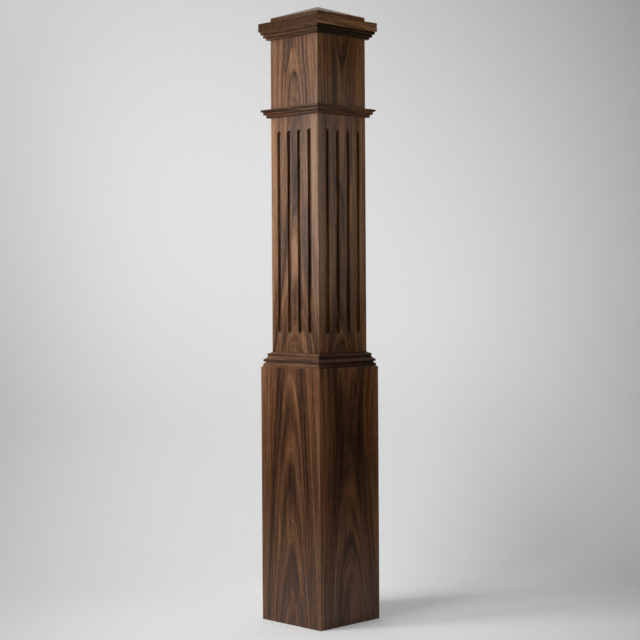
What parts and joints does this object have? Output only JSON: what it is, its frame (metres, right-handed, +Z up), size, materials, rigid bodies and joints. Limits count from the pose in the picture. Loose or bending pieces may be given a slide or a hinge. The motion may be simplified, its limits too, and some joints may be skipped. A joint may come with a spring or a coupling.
{
  "type": "box newel post",
  "caption": "Hollow square stair newel of walnut boards, with fluted shaft, boxed base, stepped neck and crown mouldings and a low peaked cap.",
  "frame": {"origin": "on the floor, at the middle of the foot", "axes": "+Z up along the post; -Y and +X are the two faces the picture shows, left and right"},
  "size_m": [0.1928, 0.1928, 1.404],
  "materials": {
    "shaft_walnut": "satin varnish on plain-sawn walnut",
    "base_walnut": "satin varnish on plain-sawn walnut",
    "moulding_walnut": "satin varnish on moulded walnut",
    "cap_walnut": "satin varnish on walnut with end grain at two sides"
  },
  "bodies": {
    "root": {"shaft_board_front": "shaft_walnut", "shaft_board_right": "shaft_walnut", "shaft_board_back": "shaft_walnut", "shaft_board_left": "shaft_walnut", "base_board_front": "base_walnut", "base_board_right": "base_walnut", "base_board_back": "base_walnut", "base_board_left": "base_walnut", "base_moulding_front": "moulding_walnut", "base_moulding_right": "moulding_walnut", "base_moulding_back": "moulding_walnut", "base_moulding_left": "moulding_walnut", "neck_moulding_front": "moulding_walnut", "neck_moulding_right": "moulding_walnut", "neck_moulding_back": "moulding_walnut", "neck_moulding_left": "moulding_walnut", "crown_moulding_front": "moulding_walnut", "crown_moulding_right": "moulding_walnut", "crown_moulding_back": "moulding_walnut", "crown_moulding_left": "moulding_walnut", "cap_board": "cap_walnut", "peaked_block": "cap_walnut"}
  },
  "joints": []
}
